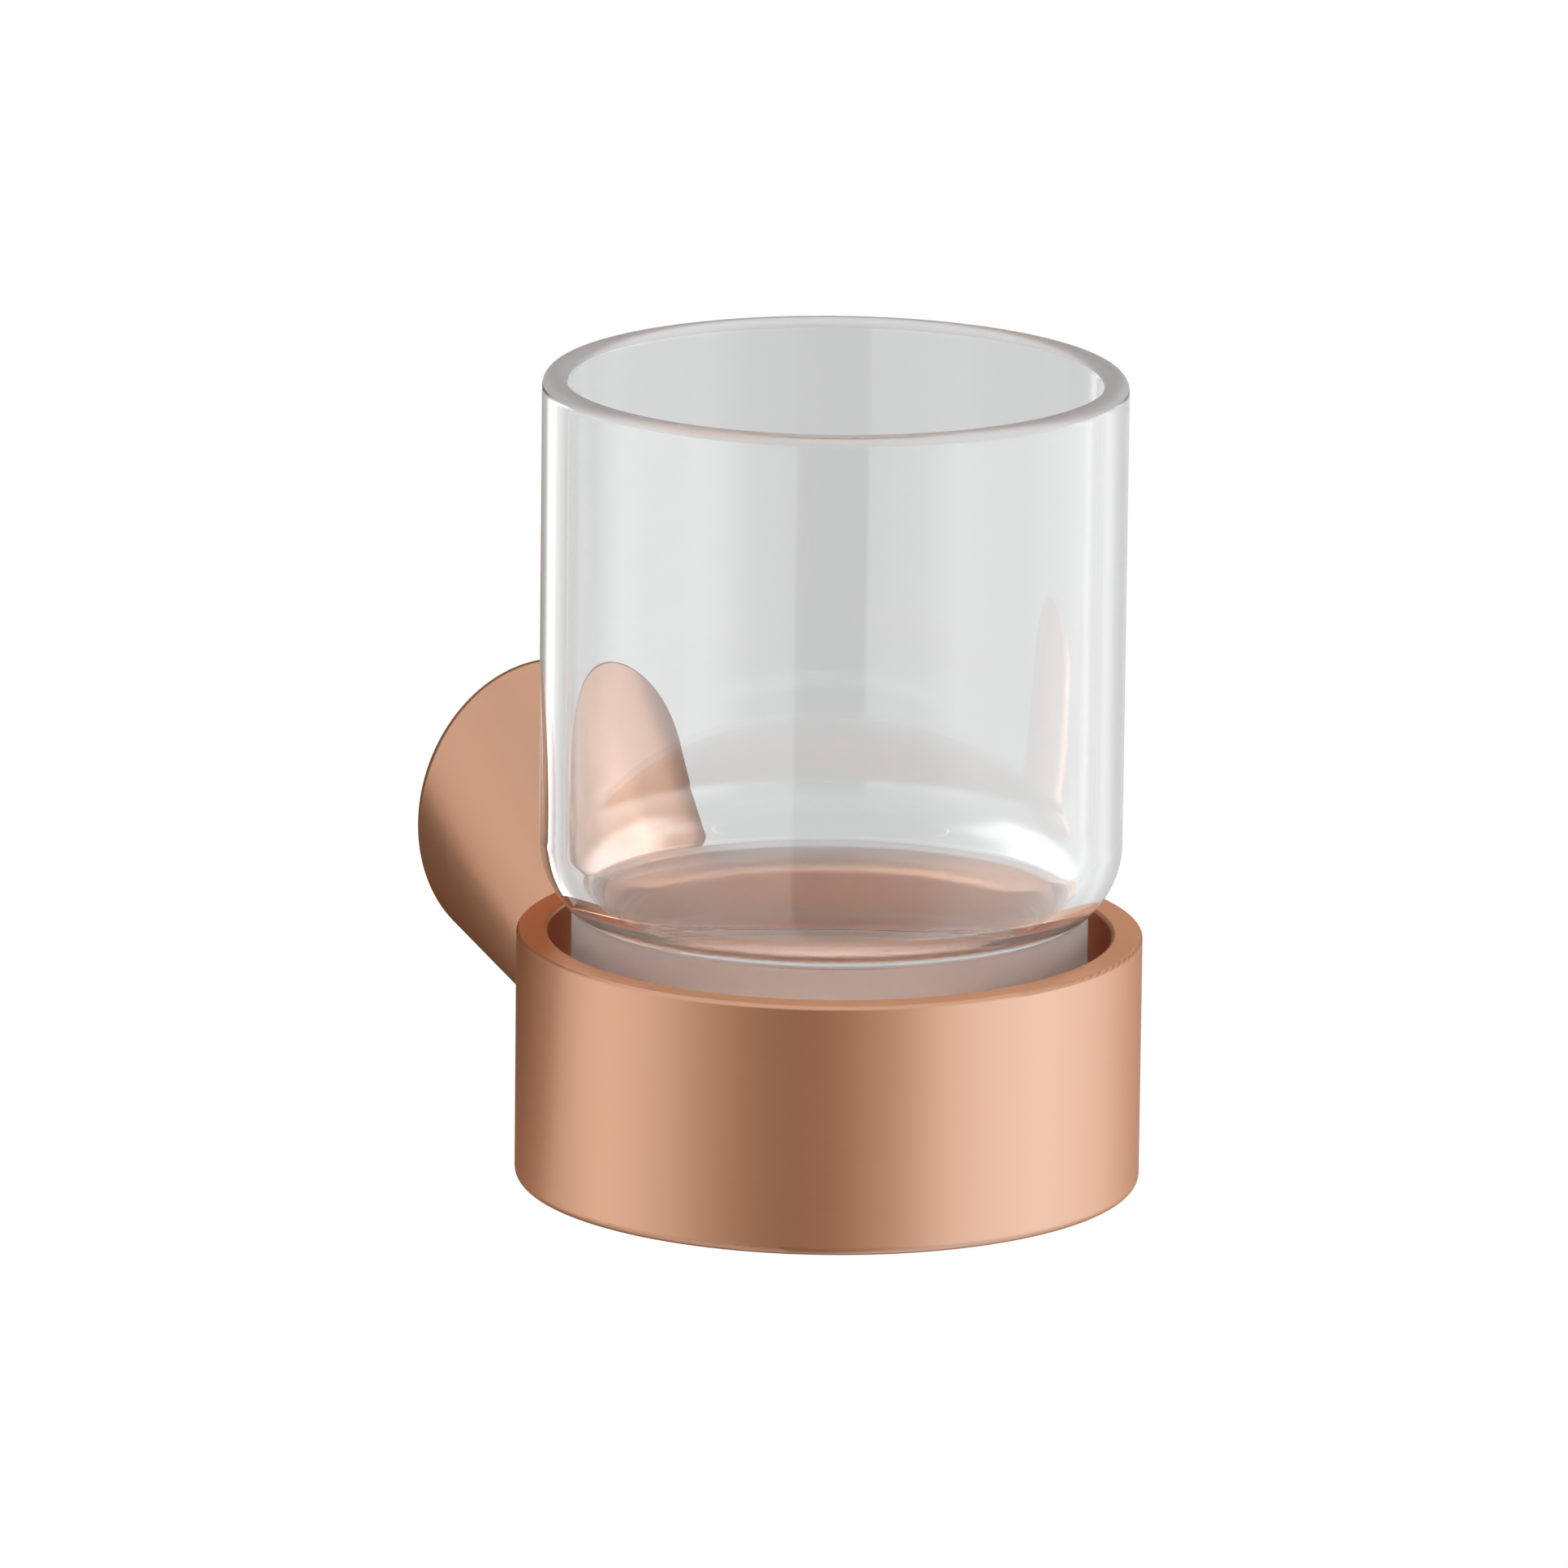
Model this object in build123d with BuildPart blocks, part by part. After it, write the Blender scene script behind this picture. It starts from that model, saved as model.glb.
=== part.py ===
from build123d import *
import os

# A wall holder for a drinking glass: a tumbler stands in a ring that a tapered post carries.
# Millimetres, +Z up. The wall is the plane Y = 0 and the holder stands out along -Y.
# The origin is the centre of the wall bracket's back face.

# Ring that holds the tumbler
ring_outer_r = 40.0
ring_wall = 4.0
ring_height = 32.5
ring_reach = 63.5  # from the wall to the ring's axis
ring_top_z = 0.0  # the ring's top edge, level with the bracket's centre
ring_top_round = 0.5
ring_foot_round = 1.2
ledge_width = 3.0  # step inside the ring that carries the floor plate
ledge_height = 12.0  # from the ring's bottom edge to the top of that step

# Floor plate and the cushion let into it
floor_thick = 3.0
floor_gap = 0.05
drain_r = 5.0
cushion_inset = 3.5  # from the foot's side in to the cushion's middle
cushion_width = 4.0
cushion_thick = 2.3
cushion_round = 0.4
groove_depth = 0.8
groove_gap = 0.1

# Glass tumbler
foot_clearance = 3.0  # between its foot and the ring's bore
foot_show = 3.2  # straight part of the foot above the ring's top edge
foot_round = 1.0
foot_rim = 8.0  # width of the foot's underside, round a shallow hollow
punt_depth = 1.2
shoulder_width = 4.25  # from the foot's side out to the glass's side
shoulder_height = 8.8
neck_round = 0.6  # in the corner between foot and shoulder
glass_wall = 3.3
glass_height = 88.5
glass_base = 6.0  # from the foot's underside to the floor inside
ridge_rise = 1.2  # the shoulder's inside edge above its outside one
ridge_round = 6.0
inner_corner_r = 4.0

# Tapered post, from the disc at the wall down to the ring's back
disc_r = 19.8
disc_rise = 4.3  # the disc's centre above the bracket's centre
disc_round = 0.6
post_top_margin = 0.5  # bare ring above the post's end
post_foot_margin = 5.0  # bare ring below the post's end
joint_gap = 0.05  # between the post's hollow end and the ring

# Wall bracket and the pocket that fits over it
post_wall = 3.0  # least wall between the disc's edge and the pocket
pocket_wall = 4.2  # metal between the pocket and the joint screw's hole
bracket_thick = 7.5
bracket_edge = 0.5
bracket_flat = 0.8  # flat on its underside, for the set screw
pocket_gap = 0.2
pocket_end_gap = 0.5
wall_hole_r = 2.25
wall_hole_sink_r = 4.3
wall_hole_edge = 1.5  # from the sink to the bracket's edge

# Set screw in the post's underside
set_screw_r = 2.0
set_screw_length = 4.0
set_screw_reach = 4.0  # from the wall to its axis
set_screw_gap = 0.05
set_screw_tip_gap = 0.05
set_socket_r = 1.15  # corner radius of the hexagon
set_socket_depth = 2.0

# Screw and pin that join the ring to the post
joint_screw_r = 2.5
joint_head_r = 4.7
joint_screw_drop = 9.0  # its axis below the ring's top edge
joint_screw_sunk = 0.5  # its head's face inside the ring's bore
joint_socket_r = 1.75
joint_socket_depth = 1.8
pin_r = 1.5
pin_length = 7.0
pin_rise = 9.5  # its axis above the ring's bottom edge
pin_in_ring = 3.5
hole_gap = 0.05  # radial, round the joint screw and the pin
hole_end_gap = 0.3

# Places that follow from the sizes above
ring_bore_r = ring_outer_r - ring_wall
ring_bottom_z = ring_top_z - ring_height
ledge_z = ring_bottom_z + ledge_height
floor_z = ledge_z + floor_thick
cushion_z = floor_z - groove_depth
foot_z = cushion_z + cushion_thick
shoulder_z = ring_top_z + foot_show
glass_floor_z = foot_z + glass_base
rim_z = foot_z + glass_height
foot_r = ring_bore_r - foot_clearance
punt_r = foot_r - foot_rim
cushion_mid_r = foot_r - cushion_inset
glass_outer_r = foot_r + shoulder_width
glass_inner_r = glass_outer_r - glass_wall
foot_inner_r = foot_r - glass_wall
ring_back_y = ring_reach - ring_outer_r  # distance from the wall to the ring's back
ring_axis = Axis((0, -ring_reach, 0), (0, 0, 1))
ring_section = Plane.XZ.offset(ring_reach)  # upright plane through the ring's axis
pocket_r = disc_r - disc_rise - post_wall
pocket_depth = bracket_thick + pocket_end_gap
bracket_r = pocket_r - pocket_gap
wall_hole_spacing = 2 * (bracket_r - wall_hole_edge - wall_hole_sink_r)
flat_z = -(bracket_r - bracket_flat)
hole_r = joint_screw_r + hole_gap
joint_z = ring_top_z - joint_screw_drop
joint_head_y = ring_reach - ring_bore_r - joint_screw_sunk  # from the wall to the head's face
joint_head_height = joint_head_r - joint_screw_r  # of a right-angled countersink
joint_hole_end = pocket_depth + pocket_wall
joint_screw_length = joint_head_y - joint_hole_end - hole_end_gap
pin_z = ring_bottom_z + pin_rise

os.makedirs("parts", exist_ok=True)


# Glass tumbler, turned about the ring's axis: one wall all the way down, drawn in at the shoulder
shoulder_top_z = shoulder_z + shoulder_height
rim_r = glass_wall / 2
neck = (foot_r, shoulder_z)
ridge = (foot_inner_r, shoulder_z + ridge_rise)
corner_end = (foot_inner_r - inner_corner_r, glass_floor_z)

with BuildPart() as tumbler:
    with BuildSketch(ring_section) as glass_section:
        with BuildLine():
            Polyline(
                (0, glass_floor_z),
                (0, foot_z + punt_depth),
                (punt_r, foot_z + punt_depth),
                (punt_r + punt_depth, foot_z),
                (foot_r - foot_round, foot_z),
            )
            RadiusArc((foot_r - foot_round, foot_z), (foot_r, foot_z + foot_round), -foot_round)
            Line((foot_r, foot_z + foot_round), neck)
            TangentArc((glass_outer_r, shoulder_top_z), neck, tangent=(0, -1))
            Line((glass_outer_r, shoulder_top_z), (glass_outer_r, rim_z - rim_r))
            ThreePointArc(
                (glass_outer_r, rim_z - rim_r),
                (glass_outer_r - rim_r, rim_z),
                (glass_inner_r, rim_z - rim_r),
            )
            Line((glass_inner_r, rim_z - rim_r), (glass_inner_r, shoulder_top_z))
            TangentArc((glass_inner_r, shoulder_top_z), ridge, tangent=(0, -1))
            Line(ridge, (foot_inner_r, glass_floor_z + inner_corner_r))
            TangentArc((foot_inner_r, glass_floor_z + inner_corner_r), corner_end, tangent=(0, -1))
            Line(corner_end, (0, glass_floor_z))
        make_face()
        fillet(glass_section.vertices().sort_by_distance(Vector(*neck))[0], neck_round)
        fillet(glass_section.vertices().sort_by_distance(Vector(*ridge))[0], ridge_round)
    revolve(axis=ring_axis)


# Ring, with the step that carries its floor and the holes for the post's screw and pin
with BuildPart() as cup_ring:
    with BuildSketch(Plane.XY.offset(ring_bottom_z)):
        with Locations((0, -ring_reach)):
            Circle(ring_outer_r)
            Circle(ring_bore_r - ledge_width, mode=Mode.SUBTRACT)
    extrude(amount=ring_height)
    with BuildSketch(Plane.XY.offset(ledge_z)):
        with Locations((0, -ring_reach)):
            Circle(ring_bore_r)
    extrude(amount=ring_height - ledge_height, mode=Mode.SUBTRACT)
    fillet(cup_ring.edges().group_by(Axis.Z)[-1], ring_top_round)
    fillet(cup_ring.edges().group_by(Axis.Z)[0].sort_by(SortBy.RADIUS)[-1], ring_foot_round)
    with BuildSketch(Plane.XZ.offset(ring_back_y + pin_in_ring + hole_end_gap)):
        with Locations((0, pin_z)):
            Circle(pin_r + hole_gap)
    extrude(amount=-ring_wall - hole_end_gap, mode=Mode.SUBTRACT)
    with Locations(Plane.XZ.offset(joint_head_y)):
        with Locations((0, joint_z)):
            CounterSinkHole(hole_r, joint_head_r + hole_gap, depth=2 * ring_wall)


# Floor plate on the ring's step, with its drain hole and the cushion's groove
with BuildPart() as floor_plate:
    with BuildSketch(Plane.XY.offset(ledge_z)):
        with Locations((0, -ring_reach)):
            Circle(ring_bore_r - floor_gap)
            Circle(drain_r, mode=Mode.SUBTRACT)
    extrude(amount=floor_thick)
    with BuildSketch(Plane.XY.offset(cushion_z)):
        with Locations((0, -ring_reach)):
            Circle(cushion_mid_r + cushion_width / 2 + groove_gap)
            Circle(cushion_mid_r - cushion_width / 2 - groove_gap, mode=Mode.SUBTRACT)
    extrude(amount=groove_depth, mode=Mode.SUBTRACT)


# Soft cushion in that groove
with BuildPart() as cushion_ring:
    with BuildSketch(Plane.XY.offset(cushion_z)):
        with Locations((0, -ring_reach)):
            Circle(cushion_mid_r + cushion_width / 2)
            Circle(cushion_mid_r - cushion_width / 2, mode=Mode.SUBTRACT)
    extrude(amount=cushion_thick)
    fillet(cushion_ring.edges().group_by(Axis.Z)[-1], cushion_round)


# Post: a slanting cone, hollowed to the ring's outside and bored for the bracket
post_end_r = (ring_height - post_top_margin - post_foot_margin) / 2  # where it first meets the ring
post_end_z = ring_top_z - post_top_margin - post_end_r
post_length = ring_back_y + ring_wall  # runs past the ring's back, then is hollowed to it
post_share = post_length / ring_back_y
cone_end_r = disc_r + (post_end_r - disc_r) * post_share
cone_end_z = disc_rise + (post_end_z - disc_rise) * post_share

with BuildPart() as tapered_post:
    with BuildSketch(Plane.XZ):
        with Locations((0, disc_rise)):
            Circle(disc_r)
    with BuildSketch(Plane.XZ.offset(post_length)):
        with Locations((0, cone_end_z)):
            Circle(cone_end_r)
    loft(ruled=True)
    fillet(tapered_post.edges().group_by(Axis.Y)[-1], disc_round)
    with BuildSketch(Plane.XY.offset(ring_bottom_z - ring_height)):
        with Locations((0, -ring_reach)):
            Circle(ring_outer_r + joint_gap)
    extrude(amount=3 * ring_height, mode=Mode.SUBTRACT)
    with BuildSketch(Plane.XZ):
        Circle(pocket_r)
    extrude(amount=pocket_depth, mode=Mode.SUBTRACT)
    with BuildSketch(Plane.XY.offset(flat_z)):
        with Locations((0, -set_screw_reach)):
            Circle(set_screw_r + set_screw_gap)
    extrude(amount=-2 * disc_r, mode=Mode.SUBTRACT)
    with BuildSketch(Plane.XZ.offset(joint_hole_end)):
        with Locations((0, joint_z)):
            Circle(hole_r)
    extrude(amount=post_length, mode=Mode.SUBTRACT)
    pin_hole_end = ring_back_y + pin_in_ring - pin_length - hole_end_gap
    with BuildSketch(Plane.XZ.offset(pin_hole_end)):
        with Locations((0, pin_z)):
            Circle(pin_r + hole_gap)
    extrude(amount=post_length, mode=Mode.SUBTRACT)


# Countersunk screw from inside the ring into the post
with BuildPart() as joint_screw:
    with BuildSketch(Plane.YZ):
        with BuildLine():
            Polyline(
                (-joint_head_y, joint_z),
                (-joint_head_y, joint_z + joint_head_r),
                (-joint_head_y + joint_head_height, joint_z + joint_screw_r),
                (-joint_head_y + joint_screw_length, joint_z + joint_screw_r),
                (-joint_head_y + joint_screw_length, joint_z),
                close=True,
            )
        make_face()
    revolve(axis=Axis((0, 0, joint_z), (0, 1, 0)))
    with BuildSketch(Plane.XZ.offset(joint_head_y)):
        with Locations((0, joint_z)):
            RegularPolygon(joint_socket_r, 6)
    extrude(amount=-joint_socket_depth, mode=Mode.SUBTRACT)


# Dowel that keeps the ring square on the post
with BuildPart() as locating_pin:
    with BuildSketch(Plane.XZ.offset(ring_back_y + pin_in_ring)):
        with Locations((0, pin_z)):
            Circle(pin_r)
    extrude(amount=-pin_length)


# Bracket on the wall: a round boss with two screw holes and a flat for the set screw
with BuildPart() as wall_bracket:
    with BuildSketch(Plane.XZ):
        Circle(bracket_r)
        with Locations((0, -bracket_r)):
            Rectangle(2 * bracket_r, 2 * bracket_flat, mode=Mode.SUBTRACT)
    extrude(amount=bracket_thick)
    chamfer(wall_bracket.edges().group_by(Axis.Y)[0], bracket_edge)
    with Locations(Plane.XZ.offset(bracket_thick)):
        with GridLocations(wall_hole_spacing, 0, 2, 1):
            CounterSinkHole(wall_hole_r, wall_hole_sink_r)


# Set screw, with its socket facing down
with BuildPart() as set_screw:
    set_tip_z = flat_z - set_screw_tip_gap
    with BuildSketch(Plane.XY.offset(set_tip_z)):
        with Locations((0, -set_screw_reach)):
            Circle(set_screw_r)
    extrude(amount=-set_screw_length)
    with BuildSketch(Plane.XY.offset(set_tip_z - set_screw_length)):
        with Locations((0, -set_screw_reach)):
            RegularPolygon(set_socket_r, 6)
    extrude(amount=set_socket_depth, mode=Mode.SUBTRACT)


pieces = {
    "tumbler": tumbler,
    "cup_ring": cup_ring,
    "floor_plate": floor_plate,
    "cushion_ring": cushion_ring,
    "tapered_post": tapered_post,
    "joint_screw": joint_screw,
    "locating_pin": locating_pin,
    "wall_bracket": wall_bracket,
    "set_screw": set_screw,
}
for name, piece in pieces.items():
    piece.part.label = name
    export_step(piece.part, f"parts/{name}.step")
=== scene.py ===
"""Looks of a wall tumbler holder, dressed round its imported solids.

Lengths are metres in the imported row's frame: the wall is the plane Y = 0, the holder stands out
along -Y and +Z is up.
"""

import logging
import math
from dataclasses import dataclass
from enum import Enum

import bmesh
import bpy
from mathutils import Matrix, Vector


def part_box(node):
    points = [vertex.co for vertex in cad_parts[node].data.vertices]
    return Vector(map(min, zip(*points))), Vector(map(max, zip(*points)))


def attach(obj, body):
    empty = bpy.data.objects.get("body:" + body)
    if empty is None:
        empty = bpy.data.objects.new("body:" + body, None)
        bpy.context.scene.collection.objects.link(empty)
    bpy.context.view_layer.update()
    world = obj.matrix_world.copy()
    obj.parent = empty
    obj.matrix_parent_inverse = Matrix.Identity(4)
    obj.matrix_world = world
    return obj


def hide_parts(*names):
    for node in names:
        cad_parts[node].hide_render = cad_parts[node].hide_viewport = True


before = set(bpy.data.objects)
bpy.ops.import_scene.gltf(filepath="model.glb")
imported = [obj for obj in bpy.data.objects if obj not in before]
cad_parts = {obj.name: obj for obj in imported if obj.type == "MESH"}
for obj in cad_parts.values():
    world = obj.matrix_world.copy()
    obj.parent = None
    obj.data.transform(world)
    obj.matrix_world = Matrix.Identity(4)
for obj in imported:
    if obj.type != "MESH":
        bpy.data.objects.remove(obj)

MM = 0.001
DISC_RISE = 4.3 * MM  # the centre of the post's disc above the bracket's
BOUNCES = 64  # how often light may pass on through glass and between metal walls
Colour = tuple[float, float, float]
Socket = bpy.types.NodeSocket

log = logging.getLogger("tumbler_holder")


class Grain(Enum):
    """Which way a brushed surface was worked."""

    ROUND_UPRIGHT = "round an upright axis"
    ROUND_POST = "round the post's own axis"
    FLAT_TURNED = "in circles on a flat face"


class GlassFace(Enum):
    """The glass's surfaces, numbered as its material slots."""

    CLEAR = 0
    GROUND = 1
    RIM = 2


def grey(level: float) -> Colour:
    """Makes a grey.

    Args:
        level: How bright it is.

    Returns:
        The colour.
    """
    return (level, level, level)


class NodeGraph:
    """Adds nodes to one material or world and joins them."""

    def __init__(self, tree: bpy.types.NodeTree) -> None:
        """Starts from an empty tree.

        Args:
            tree: The node tree to fill.
        """
        self.tree = tree
        tree.nodes.clear()

    def add(self, kind: str, **settings: object) -> bpy.types.Node:
        """Adds one node.

        Args:
            kind: The node's type name without the ShaderNode prefix.
            **settings: Values of the node's own properties.

        Returns:
            The new node.
        """
        node = self.tree.nodes.new("ShaderNode" + kind)
        for name, value in settings.items():
            setattr(node, name, value)
        return node

    def join(self, source: Socket, target: Socket) -> None:
        """Links an output to an input.

        Args:
            source: The output.
            target: The input.
        """
        self.tree.links.new(source, target)

    def math(self, operation: str, *values: Socket | float) -> Socket:
        """Adds a Math node.

        Args:
            operation: The node's operation.
            *values: Its inputs in order, sockets or numbers.

        Returns:
            The result's socket.
        """
        node = self.add("Math", operation=operation)
        for slot, value in zip(node.inputs, values):
            if isinstance(value, (int, float)):
                slot.default_value = value
            else:
                self.join(value, slot)
        return node.outputs[0]

    def spread(self, value: Socket, low: float, high: float) -> Socket:
        """Maps 0 to 1 onto a range.

        Args:
            value: The socket to map.
            low: The result where it is 0.
            high: The result where it is 1.

        Returns:
            The result's socket.
        """
        node = self.add("MapRange")
        node.inputs["To Min"].default_value = low
        node.inputs["To Max"].default_value = high
        self.join(value, node.inputs["Value"])
        return node.outputs[0]

    def ease(self, value: Socket, start: float, end: float) -> Socket:
        """Maps a range smoothly onto 0 to 1.

        Args:
            value: The socket to map.
            start: Where the result is 0.
            end: Where the result is 1.

        Returns:
            The result's socket.
        """
        node = self.add("MapRange", interpolation_type="SMOOTHSTEP")
        node.inputs["From Min"].default_value = start
        node.inputs["From Max"].default_value = end
        self.join(value, node.inputs["Value"])
        return node.outputs[0]

    def blend(self, factor: Socket, low: Socket | Colour, high: Socket | Colour) -> Socket:
        """Mixes two colours.

        Args:
            factor: The socket that chooses between them.
            low: The colour at 0, or its socket.
            high: The colour at 1, or its socket.

        Returns:
            The mixed colour's socket.
        """
        node = self.add("Mix", data_type="RGBA")
        for slot, value in ((node.inputs["A"], low), (node.inputs["B"], high)):
            if isinstance(value, tuple):
                slot.default_value = (*value, 1.0)
            else:
                self.join(value, slot)
        self.join(factor, node.inputs["Factor"])
        return node.outputs["Result"]

    def ramp(self, value: Socket, stops: list[tuple[float, Colour]]) -> Socket:
        """Adds a colour ramp.

        Args:
            value: The socket that runs along the ramp.
            stops: Each stop's place, from 0 to 1, and colour.

        Returns:
            The colour's socket.
        """
        node = self.add("ValToRGB")
        node.color_ramp.interpolation = "EASE"
        elements = node.color_ramp.elements
        elements[0].position, elements[1].position = stops[0][0], stops[-1][0]
        for element, stop in zip(elements, (stops[0], stops[-1])):
            element.color = (*stop[1], 1.0)
        for place, colour in stops[1:-1]:
            elements.new(place).color = (*colour, 1.0)
        self.join(value, node.inputs["Fac"])
        return node.outputs["Color"]


def new_material(name: str) -> tuple[bpy.types.Material, NodeGraph, bpy.types.Node]:
    """Makes a material with a plain Principled shader.

    Args:
        name: The material's name.

    Returns:
        The material, its node graph and its shader node.
    """
    material = bpy.data.materials.new(name)
    material.use_nodes = True
    graph = NodeGraph(material.node_tree)
    shader = graph.add("BsdfPrincipled")
    output = graph.add("OutputMaterial")
    graph.join(shader.outputs["BSDF"], output.inputs["Surface"])
    return material, graph, shader


def new_glow(name: str) -> tuple[bpy.types.Material, NodeGraph, bpy.types.Node]:
    """Makes a glowing material for the studio.

    Args:
        name: The material's name.

    Returns:
        The material, its node graph and its emission node.
    """
    material = bpy.data.materials.new(name)
    material.use_nodes = True
    material.cycles.emission_sampling = "NONE"
    graph = NodeGraph(material.node_tree)
    glow = graph.add("Emission")
    output = graph.add("OutputMaterial")
    graph.join(glow.outputs["Emission"], output.inputs["Surface"])
    return material, graph, glow


def add_bump(graph: NodeGraph, shader: bpy.types.Node, height: Socket, depth: float) -> None:
    """Gives a shader a bump.

    Args:
        graph: The material's nodes.
        shader: The shader whose normal is bumped.
        height: The height's socket, from 0 to 1.
        depth: How deep the bump is, in metres.
    """
    bump = graph.add("Bump")
    bump.inputs["Strength"].default_value = 1.0
    bump.inputs["Distance"].default_value = depth
    graph.join(height, bump.inputs["Height"])
    graph.join(bump.outputs["Normal"], shader.inputs["Normal"])


def new_piece(name: str, form: bmesh.types.BMesh) -> bpy.types.Object:
    """Puts a form into the scene.

    Args:
        name: The name of the object and of its mesh.
        form: The form, which is freed.

    Returns:
        The object.
    """
    mesh = bpy.data.meshes.new(name)
    form.to_mesh(mesh)
    form.free()
    piece = bpy.data.objects.new(name, mesh)
    bpy.context.scene.collection.objects.link(piece)
    return piece


@dataclass(frozen=True)
class BrushedCopper:
    """Rose copper plating with a fine brushed grain."""

    name: str
    grain: Grain
    centre: tuple[float, float, float]
    light: Colour = (0.87, 0.52, 0.36)
    dark: Colour = (0.84, 0.49, 0.335)
    edge: Colour = (0.78, 0.55, 0.42)
    rough_low: float = 0.27
    rough_high: float = 0.36
    line_pitch: float = 0.14 * MM
    line_length: float = 14 * MM
    line_depth: float = 0.0011 * MM
    line_share: float = 0.6
    cloud_scale: float = 60.0
    cloud_detail: float = 2.0

    def material(self) -> bpy.types.Material:
        """Makes the plating's material.

        Returns:
            The finished material.
        """
        material, graph, shader = new_material(self.name)
        shader.inputs["Metallic"].default_value = 1.0
        shader.inputs["Specular Tint"].default_value = (*self.edge, 1.0)
        lines = self._lines(graph)
        cloud = graph.add("TexNoise")
        cloud.inputs["Scale"].default_value = self.cloud_scale
        cloud.inputs["Detail"].default_value = self.cloud_detail
        place = graph.add("TexCoord")
        graph.join(place.outputs["Object"], cloud.inputs["Vector"])
        tone = graph.math(
            "ADD",
            graph.math("MULTIPLY", lines, self.line_share),
            graph.math("MULTIPLY", cloud.outputs["Fac"], 1.0 - self.line_share),
        )
        graph.join(graph.blend(tone, self.dark, self.light), shader.inputs["Base Color"])
        graph.join(
            graph.spread(tone, self.rough_low, self.rough_high),
            shader.inputs["Roughness"],
        )
        add_bump(graph, shader, lines, self.line_depth)
        return material

    def _lines(self, graph: NodeGraph) -> Socket:
        """Lays fine lines along the grain.

        Args:
            graph: The material's nodes.

        Returns:
            The lines' height, from 0 to 1.
        """
        place = graph.add("TexCoord")
        shift = graph.add("Mapping")
        shift.inputs["Location"].default_value = [-c for c in self.centre]
        graph.join(place.outputs["Object"], shift.inputs["Vector"])
        split = graph.add("SeparateXYZ")
        graph.join(shift.outputs["Vector"], split.inputs["Vector"])
        x, y, z = split.outputs
        across, along_a, along_b = {
            Grain.ROUND_UPRIGHT: (z, x, y),
            Grain.ROUND_POST: (y, x, z),
            Grain.FLAT_TURNED: (self._radius(graph, x, y), x, y),
        }[self.grain]
        stretched = graph.add("CombineXYZ")
        graph.join(graph.math("DIVIDE", along_a, self.line_length), stretched.inputs["X"])
        graph.join(graph.math("DIVIDE", along_b, self.line_length), stretched.inputs["Y"])
        graph.join(graph.math("DIVIDE", across, self.line_pitch), stretched.inputs["Z"])
        noise = graph.add("TexNoise")
        noise.inputs["Scale"].default_value = 1.0
        noise.inputs["Detail"].default_value = 1.0
        graph.join(stretched.outputs["Vector"], noise.inputs["Vector"])
        return noise.outputs["Fac"]

    @staticmethod
    def _radius(graph: NodeGraph, x: Socket, y: Socket) -> Socket:
        """Works out the distance from the upright axis.

        Args:
            graph: The material's nodes.
            x: The place across.
            y: The place toward the wall.

        Returns:
            The distance's socket.
        """
        squares = [graph.math("MULTIPLY", v, v) for v in (x, y)]
        return graph.math("SQRT", graph.math("ADD", *squares))


@dataclass(frozen=True)
class ClearGlass:
    """Clear glass with a faintly uneven surface."""

    name: str
    tint: Colour = (0.985, 0.99, 0.99)
    ior: float = 1.5
    wave_scale: float = 40.0
    wave_depth: float = 0.006 * MM

    def material(self) -> bpy.types.Material:
        """Makes the glass's material.

        Returns:
            The finished material.
        """
        material, graph, shader = new_material(self.name)
        shader.inputs["Base Color"].default_value = (*self.tint, 1.0)
        shader.inputs["Transmission Weight"].default_value = 1.0
        shader.inputs["Roughness"].default_value = 0.0
        shader.inputs["IOR"].default_value = self.ior
        place = graph.add("TexCoord")
        wave = graph.add("TexNoise")
        wave.inputs["Scale"].default_value = self.wave_scale
        wave.inputs["Detail"].default_value = 0.0
        graph.join(place.outputs["Object"], wave.inputs["Vector"])
        add_bump(graph, shader, wave.outputs["Fac"], self.wave_depth)
        return material


@dataclass(frozen=True)
class SpeckledFinish:
    """A plain finish with a fine speckle in its colour, gloss and surface."""

    name: str
    light: Colour
    dark: Colour
    metallic: float
    rough_low: float
    rough_high: float
    speckle: float
    depth: float
    clearness: float = 0.0
    ior: float = 1.5
    detail: float = 3.0

    def material(self) -> bpy.types.Material:
        """Makes the finish's material.

        Returns:
            The finished material.
        """
        material, graph, shader = new_material(self.name)
        shader.inputs["Metallic"].default_value = self.metallic
        shader.inputs["Transmission Weight"].default_value = self.clearness
        shader.inputs["IOR"].default_value = self.ior
        place = graph.add("TexCoord")
        noise = graph.add("TexNoise")
        noise.inputs["Scale"].default_value = 1.0 / self.speckle
        noise.inputs["Detail"].default_value = self.detail
        graph.join(place.outputs["Object"], noise.inputs["Vector"])
        tone = noise.outputs["Fac"]
        graph.join(graph.blend(tone, self.dark, self.light), shader.inputs["Base Color"])
        graph.join(
            graph.spread(tone, self.rough_low, self.rough_high),
            shader.inputs["Roughness"],
        )
        add_bump(graph, shader, tone, self.depth)
        return material


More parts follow.
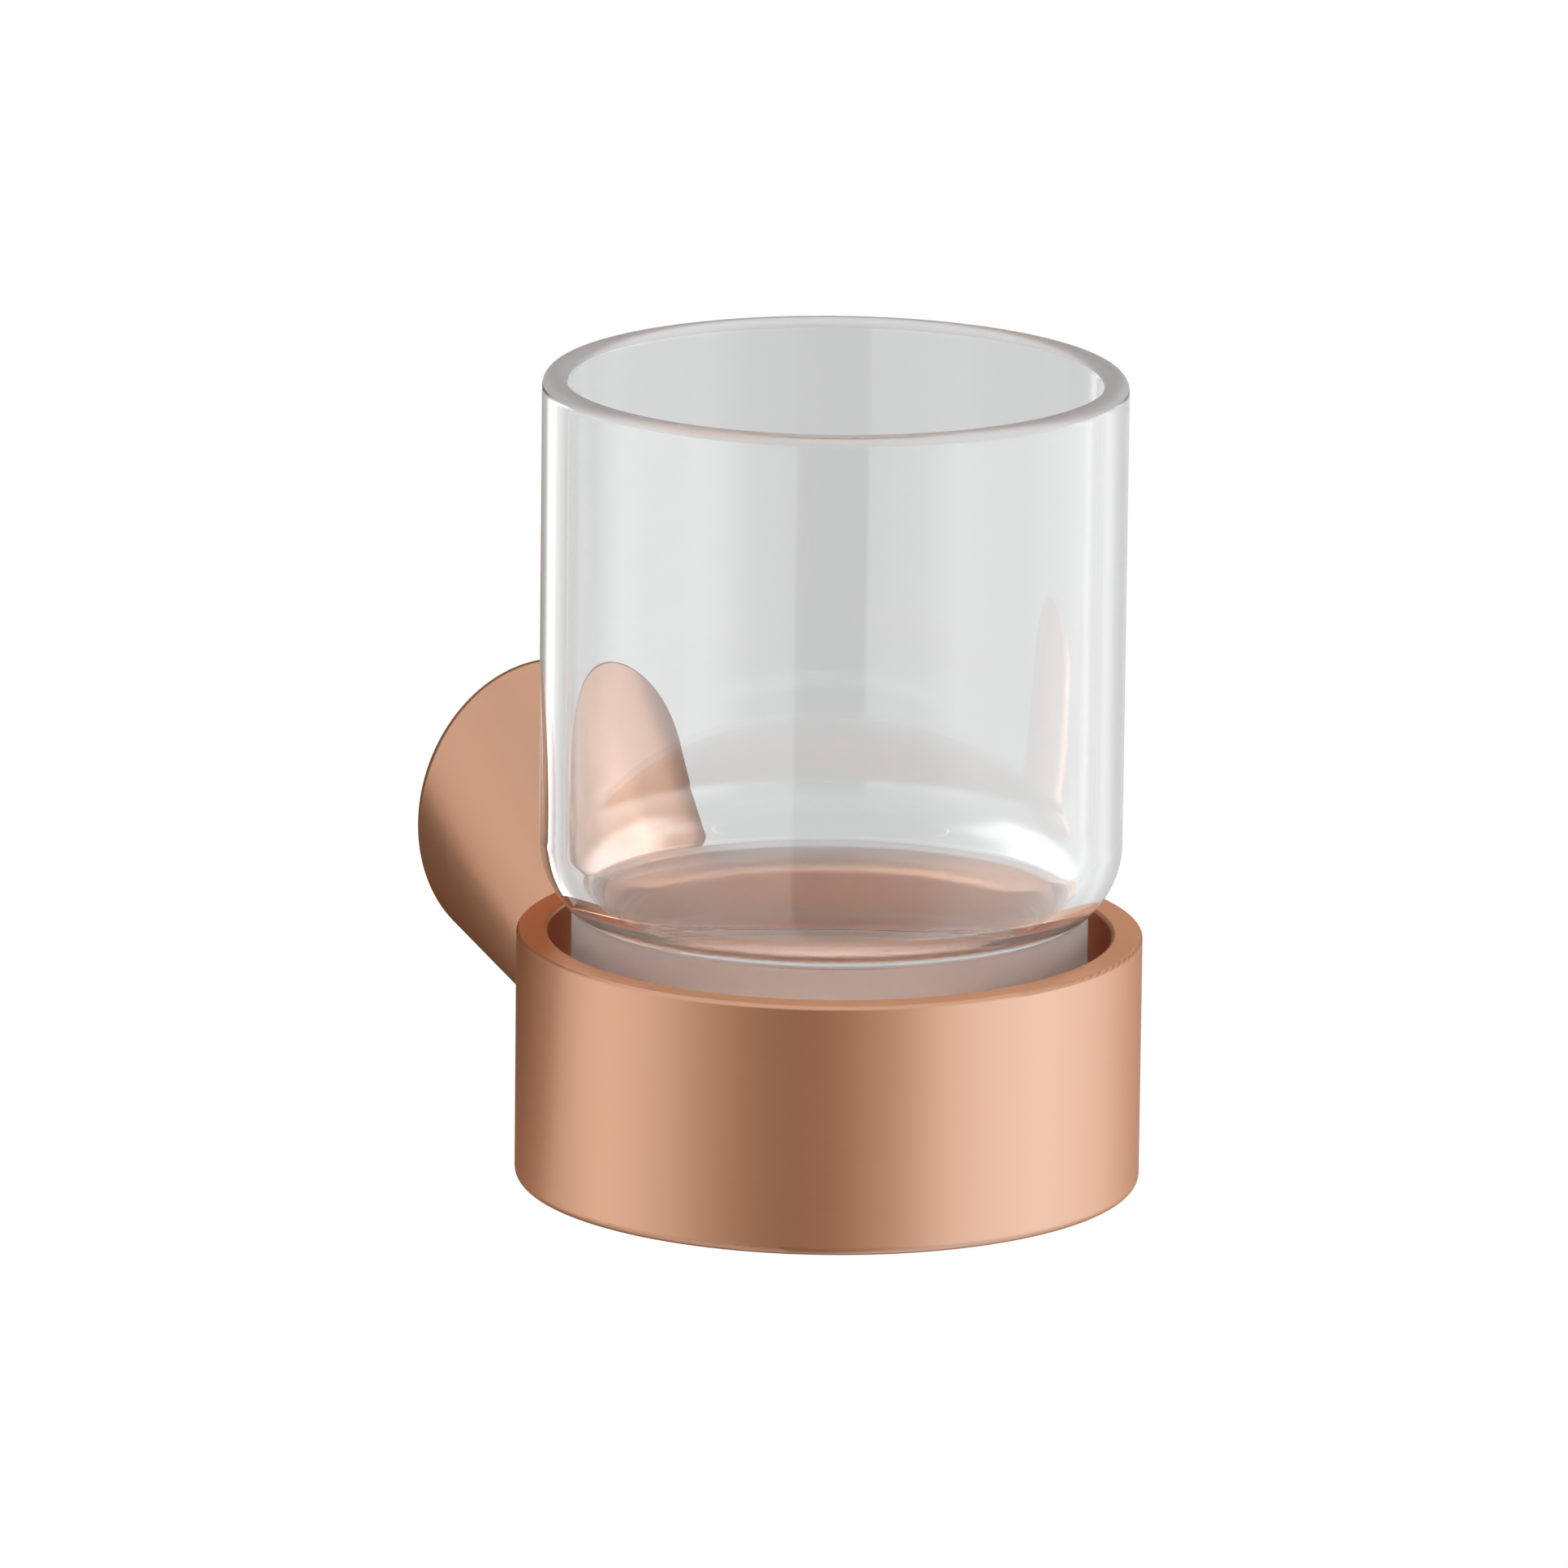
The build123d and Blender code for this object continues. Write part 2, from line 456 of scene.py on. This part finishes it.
GROUND_GLASS = SpeckledFinish(
    "ground_glass",
    light=(0.96, 0.94, 0.92),
    dark=(0.94, 0.92, 0.90),
    metallic=0.0,
    rough_low=0.46,
    rough_high=0.54,
    speckle=0.25 * MM,
    depth=0.001 * MM,
    clearness=0.85,
)
RIM_GLASS = SpeckledFinish(
    "rim_glass",
    light=(0.98, 0.98, 0.98),
    dark=(0.96, 0.96, 0.96),
    metallic=0.0,
    rough_low=0.40,
    rough_high=0.46,
    speckle=0.25 * MM,
    depth=0.001 * MM,
    clearness=0.65,
)
SILICONE = SpeckledFinish(
    "silicone",
    light=(0.80, 0.80, 0.78),
    dark=(0.72, 0.72, 0.70),
    metallic=0.0,
    rough_low=0.55,
    rough_high=0.7,
    speckle=0.4 * MM,
    depth=0.01 * MM,
    clearness=0.25,
)
SCREW_STEEL = SpeckledFinish(
    "screw_steel",
    light=(0.60, 0.60, 0.61),
    dark=(0.50, 0.50, 0.51),
    metallic=1.0,
    rough_low=0.22,
    rough_high=0.36,
    speckle=0.5 * MM,
    depth=0.004 * MM,
)
BRACKET_STEEL = SpeckledFinish(
    "bracket_steel",
    light=(0.64, 0.64, 0.64),
    dark=(0.54, 0.54, 0.55),
    metallic=1.0,
    rough_low=0.34,
    rough_high=0.5,
    speckle=0.9 * MM,
    depth=0.008 * MM,
)


class TurnedSection:
    """A section drawn as a line of straights and arcs, then turned round an upright axis.

    Places are (distance from the axis, height). Short guard lengths at the ends of each straight
    keep its shading flat beside the arcs.
    """

    GUARD = 0.2 * MM
    SHORTEST = 4 * GUARD  # a straight up to this length has no guards
    WELD = 0.002 * MM
    SLIVER = 0.001 * MM

    def __init__(self, axis: Vector, radius: float, height: float) -> None:
        """Starts the line.

        Args:
            axis: A point on the axis.
            radius: The first point's distance from the axis.
            height: The first point's height.
        """
        self.axis = Vector((axis.x, axis.y, 0.0))
        self.form = bmesh.new()
        self.end = self.form.verts.new(self._place(radius, height))

    def _place(self, radius: float, height: float) -> Vector:
        """Gives a section point's place in the row frame.

        Args:
            radius: Its distance from the axis.
            height: Its height.

        Returns:
            The place.
        """
        return self.axis + Vector((radius, 0.0, height))

    def straight(self, radius: float, height: float) -> None:
        """Draws a straight to a new point.

        Args:
            radius: The new point's distance from the axis.
            height: The new point's height.
        """
        start, goal = self.end.co.copy(), self._place(radius, height)
        step = (goal - start).normalized() * self.GUARD
        stops = [goal]
        if (goal - start).length > self.SHORTEST:
            stops = [start + step, goal - step, goal]
        for stop in stops:
            vert = self.form.verts.new(stop)
            self.form.edges.new((self.end, vert))
            self.end = vert

    def arc(self, radius: float, height: float, degrees: float, steps: int) -> None:
        """Draws an arc from the line's end.

        Args:
            radius: The arc's centre, as a distance from the axis.
            height: The arc's centre's height.
            degrees: How far it turns, counter-clockwise where positive.
            steps: How many short edges it has.
        """
        spun = bmesh.ops.spin(
            self.form,
            geom=[self.end],
            cent=self._place(radius, height),
            axis=(0, -1, 0),
            angle=math.radians(degrees),
            steps=steps,
        )
        self.end = next(g for g in spun["geom_last"] if isinstance(g, bmesh.types.BMVert))

    def turn(self, name: str, steps: int, sharp: float = 35.0) -> bpy.types.Object:
        """Turns the line into a solid piece.

        Args:
            name: The piece's name.
            steps: How many steps go round.
            sharp: The angle, in degrees, past which an edge stays sharp.

        Returns:
            The piece.
        """
        form = self.form
        bmesh.ops.spin(
            form,
            geom=form.verts[:] + form.edges[:],
            cent=self.axis,
            axis=(0, 0, 1),
            angle=2 * math.pi,
            steps=steps,
            use_merge=True,
        )
        bmesh.ops.remove_doubles(form, verts=form.verts, dist=self.WELD)
        bmesh.ops.dissolve_degenerate(form, edges=form.edges, dist=self.SLIVER)
        bmesh.ops.recalc_face_normals(form, faces=form.faces)
        for face in form.faces:
            face.smooth = True
        piece = new_piece(name, form)
        piece.data.set_sharp_from_angle(angle=math.radians(sharp))
        return piece


def dress(node: str, material: bpy.types.Material) -> None:
    """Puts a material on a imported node.

    Args:
        node: The node's name.
        material: The material that it gets.
    """
    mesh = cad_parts[node].data
    mesh.materials.clear()
    mesh.materials.append(material)
    log.info("dressed %s in %s", node, material.name)


@dataclass
class Tumbler:
    """The clear glass: straight sides, drawn in at a shoulder to a hollow foot."""

    axis: Vector
    foot_z: float = -16 * MM
    foot_r: float = 33 * MM
    foot_round: float = 1 * MM
    punt_r: float = 25 * MM
    punt_depth: float = 1.2 * MM
    outer_r: float = 37.25 * MM
    wall: float = 3.3 * MM
    neck_z: float = 3.2 * MM
    neck_round: float = 0.6 * MM
    ground_over: float = 0.4 * MM
    ground_rim: float = 1.1 * MM
    ridge_rise: float = 1.2 * MM
    ridge_round: float = 6 * MM
    shoulder_top_z: float = 12 * MM
    floor_z: float = -10 * MM
    corner_r: float = 4 * MM
    rim_z: float = 72.5 * MM
    under_tilt: float = -0.6
    turns: int = 288
    foot_steps: int = 10
    rim_steps: int = 32
    corner_steps: int = 16
    shoulder_steps: int = 28
    neck_steps: int = 10
    ridge_steps: int = 14

    def build(self) -> None:
        """Turns the glass and dresses it."""
        rim_r = self.wall / 2
        inner_r = self.outer_r - self.wall
        foot_inner_r = self.foot_r - self.wall
        line = TurnedSection(self.axis, 0.0, self.foot_z + self.punt_depth)
        line.straight(self.punt_r, self.foot_z + self.punt_depth)
        line.straight(self.punt_r + self.punt_depth, self.foot_z)
        line.straight(self.foot_r - self.foot_round, self.foot_z)
        foot_round_z = self.foot_z + self.foot_round
        line.arc(self.foot_r - self.foot_round, foot_round_z, 90.0, self.foot_steps)
        self._shoulder(line, self.foot_r, self.outer_r, self.neck_z, self.neck_round, True)
        line.straight(self.outer_r, self.rim_z - rim_r)
        line.arc(self.outer_r - rim_r, self.rim_z - rim_r, 180.0, self.rim_steps)
        line.straight(inner_r, self.shoulder_top_z)
        ridge_z = self.neck_z + self.ridge_rise
        self._shoulder(line, foot_inner_r, inner_r, ridge_z, self.ridge_round, False)
        corner_z = self.floor_z + self.corner_r
        line.straight(foot_inner_r, corner_z)
        line.arc(foot_inner_r - self.corner_r, corner_z, -90.0, self.corner_steps)
        line.straight(0.0, self.floor_z)
        glass = line.turn("tumbler_glass", self.turns)
        glass.data.materials.append(ClearGlass("clear_glass").material())
        self._grind(glass.data)
        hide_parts("tumbler")
        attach(glass, "tumbler")
        log.info("built %s with %d faces", glass.name, len(glass.data.polygons))

    def _grind(self, mesh: bpy.types.Mesh) -> None:
        """Gives the foot's outside and underside, and the rim, a ground finish.

        Args:
            mesh: The glass's mesh.
        """
        mesh.materials.append(GROUND_GLASS.material())
        mesh.materials.append(RIM_GLASS.material())
        for face in mesh.polygons:
            out = Vector((face.center.x - self.axis.x, face.center.y - self.axis.y))
            side = out.length > self.foot_r - self.foot_round
            low = face.center.z < self.foot_z + 2 * self.punt_depth
            under = low and face.normal.z < self.under_tilt
            if under or (side and face.center.z < self.neck_z + self.ground_over):
                face.material_index = GlassFace.GROUND.value
            elif face.center.z > self.rim_z - self.ground_rim:
                face.material_index = GlassFace.RIM.value

    def _shoulder(
        self,
        line: TurnedSection,
        low_r: float,
        high_r: float,
        low_z: float,
        corner: float,
        upward: bool,
    ) -> None:
        """Draws a shoulder arc with the rounded corner at its foot.

        Args:
            line: The section's line, at the end of the straight before the shoulder.
            low_r: The straight's distance from the axis below the shoulder.
            high_r: The straight's distance from the axis above it.
            low_z: Where the unrounded arc would meet the lower straight.
            corner: The radius of the rounded corner.
            upward: True if the line runs up, False if it runs down.
        """
        rise = self.shoulder_top_z - low_z
        inset = high_r - low_r
        arc_r = (inset**2 + rise**2) / (2 * inset)
        centre_r = high_r - arc_r
        corner_r = low_r + corner
        drop = math.sqrt((arc_r + corner) ** 2 - (corner_r - centre_r) ** 2)
        corner_z = self.shoulder_top_z - drop
        swing = math.degrees(math.asin(drop / (arc_r + corner)))
        if upward:
            line.straight(low_r, corner_z)
            line.arc(corner_r, corner_z, -swing, self.neck_steps)
            line.arc(centre_r, self.shoulder_top_z, swing, self.shoulder_steps)
        else:
            line.arc(centre_r, self.shoulder_top_z, -swing, self.shoulder_steps)
            line.arc(corner_r, corner_z, swing, self.ridge_steps)


@dataclass
class CupRing:
    """The copper ring, its floor plate and the soft cushion on it."""

    axis: Vector
    cushion_z: float = -18.3 * MM
    cushion_thick: float = 2.3 * MM
    cushion_inner_r: float = 27.5 * MM
    cushion_width: float = 4 * MM
    cushion_round: float = 0.4 * MM
    cushion_turns: int = 160
    round_steps: int = 8

    def build(self) -> None:
        """Dresses the ring and its plate and turns the cushion."""
        centre = (self.axis.x, self.axis.y, 0.0)
        dress("cup_ring", BrushedCopper("ring_copper", Grain.ROUND_UPRIGHT, centre).material())
        dress("floor_plate", BrushedCopper("plate_copper", Grain.FLAT_TURNED, centre).material())
        self._cushion()

    def _cushion(self) -> None:
        """Turns the cushion, with its upper edges rounded."""
        low_r, round_r = self.cushion_inner_r, self.cushion_round
        high_r = low_r + self.cushion_width
        top_z = self.cushion_z + self.cushion_thick
        line = TurnedSection(self.axis, low_r, self.cushion_z)
        line.straight(high_r, self.cushion_z)
        line.straight(high_r, top_z - round_r)
        line.arc(high_r - round_r, top_z - round_r, 90.0, self.round_steps)
        line.straight(low_r + round_r, top_z)
        line.arc(low_r + round_r, top_z - round_r, 90.0, self.round_steps)
        line.straight(low_r, self.cushion_z)
        cushion = line.turn("silicone_cushion", self.cushion_turns)
        cushion.data.materials.append(SILICONE.material())
        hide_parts("cushion_ring")
        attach(cushion, "holder")
        log.info("built %s with %d faces", cushion.name, len(cushion.data.polygons))


@dataclass
class WallPost:
    """The slanting copper post with the screw and pin that hold the ring to it."""

    disc_rise: float = DISC_RISE

    def build(self) -> None:
        """Dresses the post and its fasteners."""
        centre = (0.0, 0.0, self.disc_rise)
        copper = BrushedCopper("post_copper", Grain.ROUND_POST, centre).material()
        steel = SCREW_STEEL.material()
        for node in ("tapered_post", "joint_screw"):
            dress(node, copper)
        for node in ("locating_pin", "set_screw"):
            dress(node, steel)


@dataclass
class WallFixing:
    """The bracket that is screwed to the wall."""

    node: str = "wall_bracket"

    def build(self) -> None:
        """Dresses the bracket."""
        dress(self.node, BRACKET_STEEL.material())


@dataclass(frozen=True)
class LightTent:
    """The soft tent round the object, as bright in each direction as metal and glass reflect it.

    Bearings are degrees round from the camera's side, rising toward the camera's right.
    Elevations are degrees above the level. Metal sees one set of levels and glass another, and
    glass is told apart further by how many of its surfaces the light has passed.
    """

    sides: tuple[tuple[float, Colour], ...] = (
        (-180.0, (0.38, 0.36, 0.34)),
        (-141.0, (0.36, 0.32, 0.30)),
        (-114.0, (0.70, 0.67, 0.63)),
        (-90.0, (0.95, 0.91, 0.88)),
        (-64.0, (0.76, 0.72, 0.67)),
        (-44.0, (0.49, 0.41, 0.34)),
        (-20.0, (0.28, 0.21, 0.155)),
        (0.0, (0.30, 0.21, 0.155)),
        (20.0, (0.52, 0.43, 0.36)),
        (52.0, (0.99, 1.04, 1.08)),
        (85.0, (1.08, 1.21, 1.36)),
        (114.0, (1.00, 1.08, 1.16)),
        (145.0, (0.78, 0.82, 0.92)),
        (180.0, (0.38, 0.36, 0.34)),
    )
    glass_sides: tuple[tuple[float, float], ...] = (
        (-180.0, 0.58),
        (-170.0, 0.62),
        (-160.0, 1.9),
        (-148.0, 0.8),
        (-122.0, 0.5),
        (-100.0, 0.6),
        (-80.0, 1.0),
        (-62.0, 1.3),
        (-59.0, 1.8),
        (-15.6, 1.75),
        (-14.0, 0.42),
        (8.0, 0.42),
        (30.0, 0.9),
        (60.0, 2.9),
        (105.0, 3.3),
        (140.0, 1.0),
        (160.0, 0.62),
        (180.0, 0.58),
    )
    top: Colour = (0.74, 0.71, 0.69)
    top_rise: tuple[float, float] = (-6.0, 26.0)
    low_fall: tuple[float, float] = (-18.0, -45.0)
    low_share: float = 0.7
    glass_top: float = 1.0
    through: float = 0.6
    through_low: float = 1.2
    wall_passes: float = 2.0
    edge: float = 0.65
    edge_behind: tuple[float, float] = (0.85, 0.7)
    back_passes: float = 4.0
    back_swap: float = 0.25
    deep_passes: float = 5.5
    over: float = 11.0
    over_rise: tuple[float, float] = (14.0, 30.0)
    over_fall: tuple[float, float] = (58.0, 40.0)
    over_behind: tuple[float, float] = (-0.3, 0.1)
    radius: float = 2.6

    def build(self, centre: Vector, facing: float) -> None:
        """Sets the tent up.

        Args:
            centre: The point that it surrounds.
            facing: The azimuth of the camera's side, in degrees.
        """
        form = bmesh.new()
        bmesh.ops.create_uvsphere(form, u_segments=64, v_segments=32, radius=self.radius)
        bmesh.ops.translate(form, verts=form.verts, vec=centre)
        tent = new_piece("light_tent", form)
        tent.data.materials.append(self._material(centre, facing))
        tent.visible_camera = False
        tent.visible_shadow = False
        tent.visible_diffuse = False

    def _material(self, centre: Vector, facing: float) -> bpy.types.Material:
        """Makes the tent's glow.

        Args:
            centre: The point that the tent surrounds.
            facing: The azimuth of the camera's side, in degrees.

        Returns:
            The glowing material.
        """
        material, graph, glow = new_glow("tent_glow")
        place = graph.add("TexCoord")
        turned = graph.add("Mapping", vector_type="TEXTURE")
        turned.inputs["Location"].default_value = centre
        turned.inputs["Rotation"].default_value = (0.0, 0.0, math.radians(facing))
        turned.inputs["Scale"].default_value = (self.radius,) * 3
        graph.join(place.outputs["Object"], turned.inputs["Vector"])
        split = graph.add("SeparateXYZ")
        graph.join(turned.outputs["Vector"], split.inputs["Vector"])
        x, y, z = split.outputs
        bearing = graph.math("ARCTAN2", x, graph.math("MULTIPLY", y, -1.0))
        share = graph.math("MULTIPLY_ADD", bearing, 0.5 / math.pi, 0.5)
        high = self._climb(graph, z, self.top_rise)
        low = self._climb(graph, z, self.low_fall)
        stops = [(self._along(b), colour) for b, colour in self.sides]
        metal_light = graph.blend(high, graph.ramp(share, stops), self.top)
        path = graph.add("LightPath")
        mirror_light = self._mirror_light(graph, path, share, y, high)
        through_light = graph.blend(low, grey(self.through), grey(self.through_low))
        mirrored = graph.math("GREATER_THAN", path.outputs["Glossy Depth"], 0.5)
        glass_light = graph.blend(mirrored, through_light, mirror_light)
        clear = graph.math(
            "MAXIMUM", path.outputs["Is Singular Ray"], path.outputs["Is Transmission Ray"]
        )
        light = graph.blend(clear, metal_light, glass_light)
        light = graph.blend(self._overhead(graph, path, y, z), light, grey(self.over))
        graph.join(light, glow.inputs["Color"])
        graph.join(graph.spread(low, 1.0, self.low_share), glow.inputs["Strength"])
        return material

    @staticmethod
    def _along(bearing: float) -> float:
        """Gives a bearing's place along a ramp that goes once round.

        Args:
            bearing: The bearing, from -180 to 180 degrees.

        Returns:
            The place, from 0 to 1.
        """
        return (bearing + 180.0) / 360.0

    @staticmethod
    def _climb(graph: NodeGraph, z: Socket, span: tuple[float, float]) -> Socket:
        """Maps a span of elevations smoothly onto 0 to 1.

        Args:
            graph: The tent's nodes.
            z: How far a direction points up.
            span: The elevations where the result is 0 and 1.

        Returns:
            The result's socket.
        """
        start, end = (math.sin(math.radians(elevation)) for elevation in span)
        return graph.ease(z, start, end)

    def _mirror_light(
        self, graph: NodeGraph, path: bpy.types.Node, share: Socket, y: Socket, high: Socket
    ) -> Socket:
        """Mixes the light that reflections on and in the glass find.

        Args:
            graph: The tent's nodes.
            path: Its Light Path node.
            share: The bearing's place along a ramp.
            y: How far a direction points away from the camera's side.
            high: How far the sides have given way to the top.

        Returns:
            The light's socket.
        """
        passes = path.outputs["Transmission Depth"]
        stops = [(self._along(b), grey(level)) for b, level in self.glass_sides]
        swapped = graph.ramp(graph.math("SUBTRACT", 1.0, share), stops)
        back_wall = graph.math("COMPARE", passes, self.back_passes, 0.5)
        swap = graph.math("MULTIPLY", back_wall, self.back_swap)
        light = graph.blend(swap, graph.ramp(share, stops), swapped)
        light = graph.blend(high, light, grey(self.glass_top))
        wall_only = graph.math("COMPARE", passes, self.wall_passes, 0.5)
        aside = graph.ease(y, *self.edge_behind)
        return graph.blend(graph.math("MULTIPLY", wall_only, aside), light, grey(self.edge))

    def _overhead(self, graph: NodeGraph, path: bpy.types.Node, y: Socket, z: Socket) -> Socket:
        """Marks the light from above and behind, where it reaches deep into the glass.

        Args:
            graph: The tent's nodes.
            path: Its Light Path node.
            y: How far a direction points away from the camera's side.
            z: How far it points up.

        Returns:
            The mark's socket, from 0 to 1.
        """
        above = self._climb(graph, z, self.over_rise)
        below = self._climb(graph, z, self.over_fall)
        behind = graph.ease(y, *self.over_behind)
        deep = graph.math("GREATER_THAN", path.outputs["Transmission Depth"], self.deep_passes)
        band = graph.math("MULTIPLY", above, below)
        return graph.math("MULTIPLY", graph.math("MULTIPLY", band, behind), deep)


@dataclass
class Studio:
    """Pale floor, white surroundings, soft lamps and the tent that metal and glass reflect."""

    centre: Vector
    facing: float
    floor_drop: float = 0.45
    floor_radius: float = 1.0
    floor_glow: float = 0.42
    floor_light: Colour = (0.82, 0.82, 0.82)
    floor_dark: Colour = (0.78, 0.78, 0.78)
    floor_rough: float = 0.8
    floor_cloud_scale: float = 40.0
    white: Colour = (1.0, 1.0, 1.0)
    ambient: float = 0.45
    lamp_size: float = 1.0
    lamp_distance: float = 1.3
    shade_inner_r: float = 19.5 * MM
    shade_outer_r: float = 75 * MM
    shade_y: float = 0.4 * MM
    shade_rise: float = DISC_RISE
    shade_near: Colour = (0.17, 0.13, 0.10)
    shade_far: Colour = (0.40, 0.34, 0.30)
    round_steps: int = 96

    def build(self) -> None:
        """Sets up the world, the floor, the lamps, the tent and the shade on the wall."""
        self._world()
        self._floor()
        self._lamp("lamp_left", turn=-90.0, power=8.0, colour=(1.0, 0.985, 0.97))
        self._lamp("lamp_right", turn=80.0, power=10.0, colour=(0.96, 0.985, 1.0))
        LightTent().build(self.centre, self.facing)
        self._shade()

    def _world(self) -> None:
        """Shows white to camera, mirror and glass rays, and lights the rest softly."""
        world = bpy.data.worlds.new("surroundings")
        bpy.context.scene.world = world
        world.use_nodes = True
        graph = NodeGraph(world.node_tree)
        background = graph.add("Background")
        background.inputs["Color"].default_value = (*self.white, 1.0)
        strength = graph.spread(self._seen(graph), self.ambient, 1.0)
        graph.join(strength, background.inputs["Strength"])
        output = graph.add("OutputWorld")
        graph.join(background.outputs["Background"], output.inputs["Surface"])

    @staticmethod
    def _seen(graph: NodeGraph) -> Socket:
        """Marks the rays that show the surroundings, rather than light the object by them.

        Args:
            graph: The nodes to add to.

        Returns:
            The mark's socket, 1 for camera, mirror and glass rays.
        """
        path = graph.add("LightPath")
        seen = graph.math("MAXIMUM", path.outputs["Is Camera Ray"], path.outputs["Is Glossy Ray"])
        return graph.math("MAXIMUM", seen, path.outputs["Is Transmission Ray"])

    def _floor(self) -> None:
        """Lays a round pale floor well below the object."""
        form = bmesh.new()
        bmesh.ops.create_circle(
            form, cap_ends=True, segments=self.round_steps, radius=self.floor_radius
        )
        middle = self.centre - Vector((0, 0, self.floor_drop))
        bmesh.ops.translate(form, verts=form.verts, vec=middle)
        floor = new_piece("floor", form)
        material, graph, shader = new_material("floor_paint")
        material.cycles.emission_sampling = "NONE"
        noise = graph.add("TexNoise")
        noise.inputs["Scale"].default_value = self.floor_cloud_scale
        paint = graph.blend(noise.outputs["Fac"], self.floor_dark, self.floor_light)
        graph.join(paint, shader.inputs["Base Color"])
        shader.inputs["Roughness"].default_value = self.floor_rough
        shader.inputs["Emission Color"].default_value = (*self.white, 1.0)
        strength = graph.spread(self._seen(graph), 0.0, self.floor_glow)
        graph.join(strength, shader.inputs["Emission Strength"])
        floor.data.materials.append(material)
        floor.visible_glossy = False
        floor.visible_transmission = False

    def _lamp(self, name: str, turn: float, power: float, colour: Colour) -> None:
        """Hangs a soft box level with the object.

        Args:
            name: The lamp's name.
            turn: Degrees round from the camera's side, rising toward the camera's right.
            power: Its power in watts.
            colour: Its light's colour.
        """
        light = bpy.data.lights.new(name, "AREA")
        light.shape = "SQUARE"
        light.size = self.lamp_size
        light.energy = power
        light.color = colour
        lamp = bpy.data.objects.new(name, light)
        angle = math.radians(self.facing + turn)
        out = Vector((math.sin(angle), -math.cos(angle), 0.0))
        aimed = (-out).to_track_quat("-Z", "Y").to_matrix().to_4x4()
        place = self.centre + out * self.lamp_distance
        lamp.matrix_world = Matrix.Translation(place) @ aimed
        lamp.visible_glossy = False
        lamp.visible_transmission = False
        bpy.context.scene.collection.objects.link(lamp)

    def _shade(self) -> None:
        """Lays the shade that the post leaves round itself where a wall would be."""
        form = bmesh.new()
        start = form.verts.new((self.shade_inner_r, self.shade_y, self.shade_rise))
        end = form.verts.new((self.shade_outer_r, self.shade_y, self.shade_rise))
        edge = form.edges.new((start, end))
        bmesh.ops.spin(
            form,
            geom=[start, end, edge],
            cent=(0, 0, self.shade_rise),
            axis=(0, 1, 0),
            angle=2 * math.pi,
            steps=self.round_steps,
            use_merge=True,
        )
        shade = new_piece("wall_shade", form)
        material, graph, glow = new_glow("wall_shade")
        place = graph.add("TexCoord")
        shift = graph.add("Mapping")
        shift.inputs["Location"].default_value = (0.0, 0.0, -self.shade_rise)
        graph.join(place.outputs["Object"], shift.inputs["Vector"])
        length = graph.add("VectorMath", operation="LENGTH")
        graph.join(shift.outputs["Vector"], length.inputs[0])
        far = graph.ease(length.outputs["Value"], self.shade_inner_r, self.shade_outer_r)
        light = graph.blend(far, self.shade_near, self.shade_far)
        graph.join(light, glow.inputs["Color"])
        shade.data.materials.append(material)
        shade.visible_camera = False
        shade.visible_shadow = False
        shade.visible_diffuse = False
        shade.visible_transmission = False


@dataclass
class PhotoCamera:
    """The camera, placed as the photograph was taken."""

    axis: Vector
    target_z: float = 8.9 * MM
    azimuth: float = -36.78
    elevation: float = 13.6
    roll: float = 0.65
    distance: float = 2.202
    lens: float = 396.2
    sensor: float = 36.0
    aim_right: float = -5.9 * MM
    aim_up: float = 9.94 * MM

    def build(self) -> None:
        """Makes the scene's camera."""
        turn, lift, roll = (math.radians(v) for v in (self.azimuth, self.elevation, self.roll))
        flat = math.cos(lift)
        back = Vector((math.sin(turn) * flat, -math.cos(turn) * flat, math.sin(lift)))
        level = Vector((math.cos(turn), math.sin(turn), 0.0))
        right = level * math.cos(roll) + back.cross(level) * math.sin(roll)
        top = back.cross(right)
        target = self.axis + Vector((0, 0, self.target_z))
        aim = target + right * self.aim_right + top * self.aim_up
        data = bpy.data.cameras.new("camera")
        data.lens = self.lens
        data.sensor_width = self.sensor
        camera = bpy.data.objects.new("camera", data)
        turned = Matrix((right, top, back)).transposed().to_4x4()
        camera.matrix_world = Matrix.Translation(aim + back * self.distance) @ turned
        bpy.context.scene.collection.objects.link(camera)
        bpy.context.scene.camera = camera


def set_light_paths() -> None:
    """Lets light pass often enough through glass and between metal walls."""
    cycles = bpy.context.scene.cycles
    cycles.max_bounces = BOUNCES
    cycles.glossy_bounces = BOUNCES
    cycles.transmission_bounces = BOUNCES


def main() -> None:
    """Builds and dresses the holder, and sets its studio and camera."""
    logging.basicConfig(level=logging.INFO, format="%(name)s: %(message)s")
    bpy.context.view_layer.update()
    low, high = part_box("cup_ring")
    axis = (low + high) / 2
    axis.z = 0.0
    bpy.context.scene.view_settings.view_transform = "Standard"
    set_light_paths()
    WallFixing().build()
    WallPost().build()
    CupRing(axis).build()
    Tumbler(axis).build()
    camera = PhotoCamera(axis)
    camera.build()
    Studio(axis, camera.azimuth).build()


if __name__ == "__main__":
    main()
